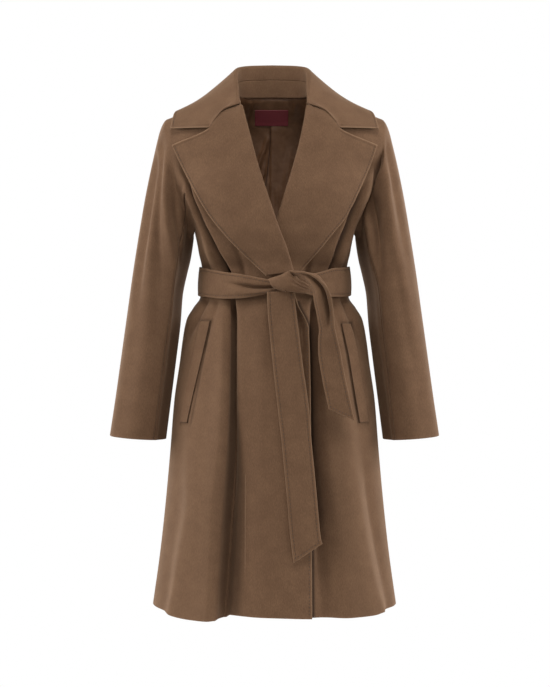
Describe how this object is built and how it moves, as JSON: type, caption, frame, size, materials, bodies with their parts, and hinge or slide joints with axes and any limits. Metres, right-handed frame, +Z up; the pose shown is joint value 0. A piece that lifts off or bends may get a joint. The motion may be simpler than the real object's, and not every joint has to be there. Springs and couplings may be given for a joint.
{
  "type": "wrap coat",
  "caption": "Belted wrap coat in smooth brown wool, with wide notched lapels, kimono-cut long sleeves, slanted welt pockets and a cloth belt tied in a half bow.",
  "frame": {"origin": "between the shoulders, level with the base of the neck, where a wearer or a hanger carries the coat", "axes": "+Z up, the coat's front faces -Y, the wearer's right side is at -X"},
  "size_m": [0.6458, 0.358, 1.0712],
  "materials": {
    "wool": "matte",
    "lining": "satin",
    "label": "matte"
  },
  "bodies": {
    "root": {"front_right": "wool", "front_left": "wool", "back": "wool", "sleeve_front_right": "wool", "sleeve_under_right": "wool", "sleeve_back_right": "wool", "sleeve_front_left": "wool", "sleeve_under_left": "wool", "sleeve_back_left": "wool", "lapel_right": "wool", "lapel_left": "wool", "collar_leaf": "wool", "collar_stand": "wool", "lining_back": "lining", "neck_label": "label", "welt_right": "wool", "welt_left": "wool", "belt_band": "wool", "belt_knot": "wool", "belt_tail_long": "wool", "belt_tail_short": "wool"}
  },
  "joints": []
}
